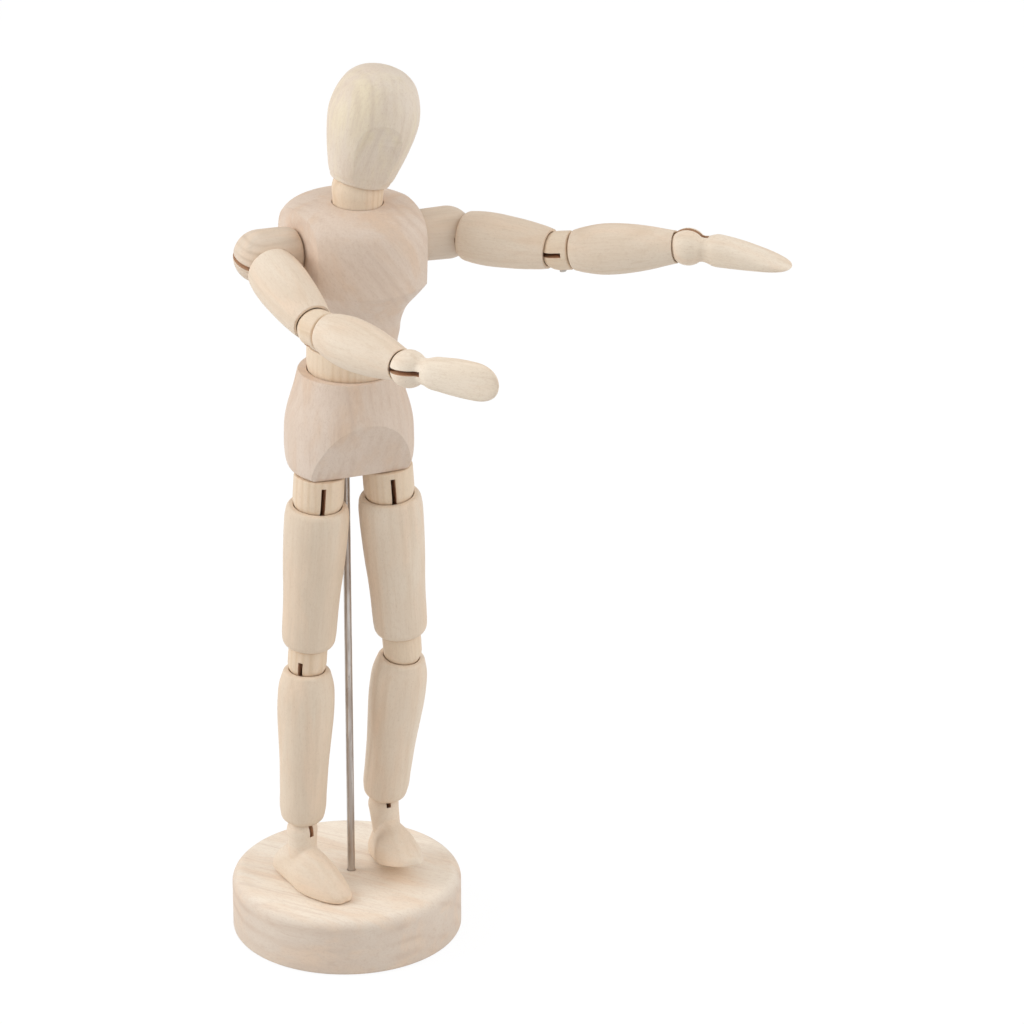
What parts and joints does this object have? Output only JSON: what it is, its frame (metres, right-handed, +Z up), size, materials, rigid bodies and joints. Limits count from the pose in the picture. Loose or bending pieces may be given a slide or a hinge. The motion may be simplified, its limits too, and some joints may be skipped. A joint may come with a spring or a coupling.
{
  "type": "artist drawing mannequin",
  "caption": "Jointed wooden human figure on a round base, with turned limbs on ball joints that hold a pose for drawing.",
  "frame": {"origin": "middle of the underside of the round base", "axes": "+Z up, the figure faces -Y in the plane of its hips, +X to the figure's left"},
  "size_m": [0.1608, 0.1492, 0.3023],
  "materials": {
    "base_wood": "sanded, unvarnished",
    "body_wood": "sanded, unvarnished",
    "limb_wood": "sanded, unvarnished",
    "joint_wood": "turned, unvarnished",
    "rod_steel": "drawn wire rod",
    "pin_steel": "cut ends",
    "spring_steel": "drawn wire"
  },
  "bodies": {
    "stand": {"base_disc": "base_wood", "support_rod": "rod_steel"},
    "pelvis": {"pelvis_block": "body_wood"},
    "waist_link": {"waist_spring": "spring_steel"},
    "waist": {"waist_ball": "joint_wood"},
    "chest": {"chest_block": "body_wood", "shoulder_spring": "spring_steel"},
    "neck": {"neck_post": "joint_wood"},
    "neck_link": {"neck_spring": "spring_steel"},
    "head": {"head_block": "body_wood"},
    "left_shoulder": {"left_shoulder_ball": "joint_wood", "left_shoulder_pin": "pin_steel"},
    "left_upper_arm": {"left_shoulder_hook": "spring_steel"},
    "left_elbow_link": {"left_upper_arm": "limb_wood", "left_upper_arm_spring": "spring_steel"},
    "left_elbow": {"left_elbow_ball": "joint_wood", "left_elbow_pin": "pin_steel", "left_forearm_spring": "spring_steel"},
    "left_forearm": {"left_forearm": "limb_wood"},
    "left_wrist": {"left_wrist_hook": "spring_steel"},
    "left_hand": {"left_hand": "limb_wood", "left_wrist_pin": "pin_steel"},
    "left_hip": {"left_hip_ball": "joint_wood", "left_hip_pin": "pin_steel"},
    "left_thigh_link": {"left_hip_hook": "spring_steel"},
    "left_thigh": {"left_thigh": "limb_wood"},
    "left_knee": {"left_knee_ball": "joint_wood", "left_knee_pin": "pin_steel", "left_thigh_spring": "spring_steel"},
    "left_shin": {"left_shin": "limb_wood", "left_shin_spring": "spring_steel"},
    "left_ankle": {"left_ankle_hook": "spring_steel"},
    "left_foot": {"left_foot": "limb_wood", "left_ankle_pin": "pin_steel"},
    "right_shoulder": {"right_shoulder_ball": "joint_wood", "right_shoulder_pin": "pin_steel"},
    "right_upper_arm": {"right_shoulder_hook": "spring_steel"},
    "right_elbow_link": {"right_upper_arm": "limb_wood", "right_upper_arm_spring": "spring_steel"},
    "right_elbow": {"right_elbow_ball": "joint_wood", "right_elbow_pin": "pin_steel", "right_forearm_spring": "spring_steel"},
    "right_forearm": {"right_forearm": "limb_wood"},
    "right_wrist": {"right_wrist_hook": "spring_steel"},
    "right_hand": {"right_hand": "limb_wood", "right_wrist_pin": "pin_steel"},
    "right_hip": {"right_hip_ball": "joint_wood", "right_hip_pin": "pin_steel"},
    "right_thigh_link": {"right_hip_hook": "spring_steel"},
    "right_thigh": {"right_thigh": "limb_wood"},
    "right_knee": {"right_knee_ball": "joint_wood", "right_knee_pin": "pin_steel", "right_thigh_spring": "spring_steel"},
    "right_shin": {"right_shin": "limb_wood", "right_shin_spring": "spring_steel"},
    "right_ankle": {"right_ankle_hook": "spring_steel"},
    "right_foot": {"right_foot": "limb_wood", "right_ankle_pin": "pin_steel"}
  },
  "joints": [
    {"name": "pelvis_on_rod", "type": "hinge", "parent": "stand", "child": "pelvis", "pos_m": [0.0012, -0.0012, 0.1675], "axis": [0, 0, 1], "continuous": true},
    {"name": "waist_lean", "type": "hinge", "parent": "pelvis", "child": "waist_link", "pos_m": [0.0025, -0.0048, 0.204], "axis": [0, 1, 0], "range_deg": [-18.2, 15.2]},
    {"name": "waist_bend", "type": "hinge", "parent": "waist_link", "child": "waist", "pos_m": [0.0025, -0.0048, 0.204], "axis": [0.9997, 0, -0.0262], "range_deg": [-10, 10]},
    {"name": "chest_turn", "type": "hinge", "parent": "waist", "child": "chest", "pos_m": [0.0025, -0.0048, 0.204], "axis": [0.0262, 0, 0.9997], "range_deg": [-89.2, 89.2]},
    {"name": "neck_turn", "type": "hinge", "parent": "chest", "child": "neck", "pos_m": [0.00417, -0.0078, 0.26198], "axis": [0.0262, 0, 0.9997], "continuous": true},
    {"name": "head_tilt", "type": "hinge", "parent": "neck", "child": "neck_link", "pos_m": [0.00417, -0.0078, 0.26198], "axis": [0.0697, 0.9976, -0.0018], "range_deg": [-29.2, 7.2]},
    {"name": "head_nod", "type": "hinge", "parent": "neck_link", "child": "head", "pos_m": [0.00417, -0.0078, 0.26198], "axis": [0.9716, -0.0683, -0.2266], "range_deg": [-17.2, 17.2]},
    {"name": "left_shoulder_turn", "type": "hinge", "parent": "chest", "child": "left_shoulder", "pos_m": [0.03517, -0.00358, 0.24166], "axis": [0.9995, 0.0175, -0.0262], "range_deg": [-169.2, 169.2]},
    {"name": "left_shoulder_swing", "type": "hinge", "parent": "left_shoulder", "child": "left_upper_arm", "pos_m": [0.03517, -0.00358, 0.24166], "axis": [-0.0256, -0.0297, -0.9992], "range_deg": [-111.2, 17.2]},
    {"name": "left_upper_arm_twist", "type": "hinge", "parent": "left_upper_arm", "child": "left_elbow_link", "pos_m": [0.03517, -0.00358, 0.24166], "axis": [0.6975, -0.7166, 0.0034], "continuous": true},
    {"name": "left_elbow_bend", "type": "hinge", "parent": "left_elbow_link", "child": "left_elbow", "pos_m": [0.06286, -0.03203, 0.24179], "axis": [-0.082, 0.1396, 0.9868], "range_deg": [-57.2, 47.2]},
    {"name": "left_forearm_turn", "type": "hinge", "parent": "left_elbow", "child": "left_forearm", "pos_m": [0.06286, -0.03203, 0.24179], "axis": [0.7544, -0.6384, 0.1529], "continuous": true},
    {"name": "left_wrist_twist", "type": "hinge", "parent": "left_forearm", "child": "left_wrist", "pos_m": [0.09492, -0.05916, 0.24829], "axis": [0.7544, -0.6384, 0.1529], "continuous": true},
    {"name": "left_wrist_bend", "type": "hinge", "parent": "left_wrist", "child": "left_hand", "pos_m": [0.09492, -0.05916, 0.24829], "axis": [0.5698, 0.8206, 0.0447], "range_deg": [-89.2, 69.2]},
    {"name": "left_hip_turn", "type": "hinge", "parent": "pelvis", "child": "left_hip", "pos_m": [0.0132, -0.0086, 0.1597], "axis": [0.068, 0, -0.9977], "range_deg": [-19.2, 119.2]},
    {"name": "left_hip_swing", "type": "hinge", "parent": "left_hip", "child": "left_thigh_link", "pos_m": [0.0132, -0.0086, 0.1597], "axis": [-0.988, 0.1392, -0.0674], "range_deg": [-21.4, 1.6]},
    {"name": "left_thigh_twist", "type": "hinge", "parent": "left_thigh_link", "child": "left_thigh", "pos_m": [0.0132, -0.0086, 0.1597], "axis": [0.088, 0.0553, -0.9946], "range_deg": [-19.2, 44.2]},
    {"name": "left_knee_turn", "type": "hinge", "parent": "left_thigh", "child": "left_knee", "pos_m": [0.0185, -0.00526, 0.09973], "axis": [0.088, 0.0553, -0.9946], "range_deg": [-22.2, 48.2]},
    {"name": "left_knee_bend", "type": "hinge", "parent": "left_knee", "child": "left_shin", "pos_m": [0.0185, -0.00526, 0.09973], "axis": [0.3074, 0.9482, 0.0799], "range_deg": [-57.2, 3.2]},
    {"name": "left_ankle_twist", "type": "hinge", "parent": "left_shin", "child": "left_ankle", "pos_m": [0.01463, 0.00412, 0.03938], "axis": [-0.0633, 0.1533, -0.9861], "range_deg": [-179.2, 31.2]},
    {"name": "left_ankle_bend", "type": "hinge", "parent": "left_ankle", "child": "left_foot", "pos_m": [0.01463, 0.00412, 0.03938], "axis": [-0.9995, -0.0309, -0.0007], "range_deg": [-21.2, 40.2]},
    {"name": "right_shoulder_turn", "type": "hinge", "parent": "chest", "child": "right_shoulder", "pos_m": [-0.02811, -0.0069, 0.24332], "axis": [-0.9959, -0.0872, 0.0261], "range_deg": [-59.2, 169.2]},
    {"name": "right_shoulder_swing", "type": "hinge", "parent": "right_shoulder", "child": "right_upper_arm", "pos_m": [-0.02811, -0.0069, 0.24332], "axis": [0.0497, -0.2813, 0.9583], "range_deg": [-158.2, 0]},
    {"name": "right_upper_arm_twist", "type": "hinge", "parent": "right_upper_arm", "child": "right_elbow_link", "pos_m": [-0.02811, -0.0069, 0.24332], "axis": [0.1455, -0.9473, -0.2856], "continuous": true},
    {"name": "right_elbow_bend", "type": "hinge", "parent": "right_elbow_link", "child": "right_elbow", "pos_m": [-0.02233, -0.0445, 0.23198], "axis": [-0.6337, -0.2615, 0.7281], "range_deg": [-74.2, 34.2]},
    {"name": "right_forearm_turn", "type": "hinge", "parent": "right_elbow", "child": "right_forearm", "pos_m": [-0.02233, -0.0445, 0.23198], "axis": [0.3686, -0.9295, -0.013], "continuous": true},
    {"name": "right_wrist_twist", "type": "hinge", "parent": "right_forearm", "child": "right_wrist", "pos_m": [-0.00666, -0.08401, 0.23143], "axis": [0.3686, -0.9295, -0.013], "continuous": true},
    {"name": "right_wrist_bend", "type": "hinge", "parent": "right_wrist", "child": "right_hand", "pos_m": [-0.00666, -0.08401, 0.23143], "axis": [-0.049, -0.0992, -0.9939], "range_deg": [-64.2, 94.2]},
    {"name": "right_hip_turn", "type": "hinge", "parent": "pelvis", "child": "right_hip", "pos_m": [-0.0108, -0.0086, 0.1597], "axis": [-0.068, 0, -0.9977], "range_deg": [-119.2, 19.2]},
    {"name": "right_hip_swing", "type": "hinge", "parent": "right_hip", "child": "right_thigh_link", "pos_m": [-0.0108, -0.0086, 0.1597], "axis": [-0.988, 0.1392, 0.0674], "range_deg": [-30.2, 45.2]},
    {"name": "right_thigh_twist", "type": "hinge", "parent": "right_thigh_link", "child": "right_thigh", "pos_m": [-0.0108, -0.0086, 0.1597], "axis": [-0.0488, 0.0853, -0.9952], "range_deg": [-33.2, 169.2]},
    {"name": "right_knee_turn", "type": "hinge", "parent": "right_thigh", "child": "right_knee", "pos_m": [-0.01374, -0.00345, 0.09969], "axis": [-0.0488, 0.0853, -0.9952], "range_deg": [-34.2, 179.2]},
    {"name": "right_knee_bend", "type": "hinge", "parent": "right_knee", "child": "right_shin", "pos_m": [-0.01374, -0.00345, 0.09969], "axis": [-0.7617, 0.6413, 0.0923], "range_deg": [-2.4, 44.2]},
    {"name": "right_ankle_twist", "type": "hinge", "parent": "right_shin", "child": "right_ankle", "pos_m": [-0.01618, -0.00254, 0.03855], "axis": [-0.0398, 0.0149, -0.9991], "range_deg": [-47.2, 179.2]},
    {"name": "right_ankle_bend", "type": "hinge", "parent": "right_ankle", "child": "right_foot", "pos_m": [-0.01618, -0.00254, 0.03855], "axis": [-0.9394, -0.3427, 0.0009], "range_deg": [-0.8, 11.2]}
  ]
}
